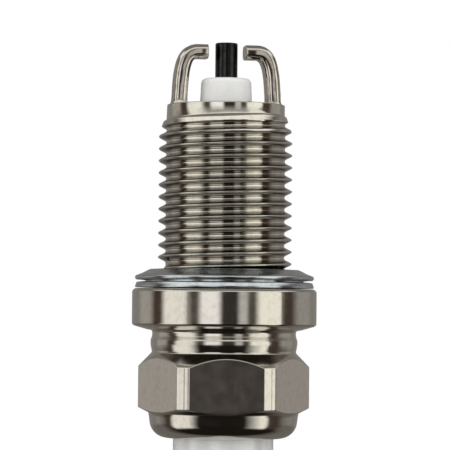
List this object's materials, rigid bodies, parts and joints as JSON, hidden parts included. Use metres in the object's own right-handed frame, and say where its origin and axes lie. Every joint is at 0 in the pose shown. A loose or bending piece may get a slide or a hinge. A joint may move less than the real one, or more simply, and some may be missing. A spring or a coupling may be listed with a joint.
{
  "type": "spark plug",
  "caption": "Spark plug with a threaded metal shell, captive folded gasket, hexagon, ribbed ceramic insulator, removable terminal nut and side ground electrodes.",
  "frame": {"origin": "on the plug's axis, in the plane of the shell's seat face where the gasket lies", "axes": "+Z along the axis towards the electrodes, -Y out of the hexagon flat that faces the viewer, +X to the viewer's right"},
  "size_m": [0.0192, 0.019, 0.076],
  "materials": {
    "nickel_plated_steel": "bright nickel plate",
    "zinc_plated_steel": "bright blue zinc plate",
    "nickel_alloy": "drawn and bent",
    "oxidised_nickel_alloy": "dark oxide",
    "copper": "drawn",
    "plain_steel": "bare",
    "glazed_alumina": "glazed outside the shell, bare at the nose",
    "conductive_glass": "fused",
    "resistor_mix": "fused",
    "talc": "pressed powder"
  },
  "bodies": {
    "plug_body": {"metal_shell": "nickel_plated_steel", "ground_electrode_left": "nickel_alloy", "ground_electrode_right": "nickel_alloy", "insulator": "glazed_alumina", "centre_electrode": "oxidised_nickel_alloy", "centre_electrode_core": "copper", "lower_glass_seal": "conductive_glass", "resistor": "resistor_mix", "upper_glass_seal": "conductive_glass", "terminal_stud": "plain_steel", "seat_washer": "plain_steel", "talc_ring": "talc", "lower_packing_ring": "plain_steel", "upper_packing_ring": "plain_steel"},
    "gasket": {"sealing_gasket": "zinc_plated_steel"},
    "nut": {"terminal_nut": "nickel_plated_steel"}
  },
  "joints": [
    {"name": "gasket_spin", "type": "hinge", "parent": "plug_body", "child": "gasket", "pos_m": [0, 0, 0], "axis": [0, 0, 1], "continuous": true},
    {"name": "terminal_nut_slide", "type": "slide", "parent": "plug_body", "child": "nut", "axis": [0, 0, -1], "range_m": [0, 0.008]}
  ]
}
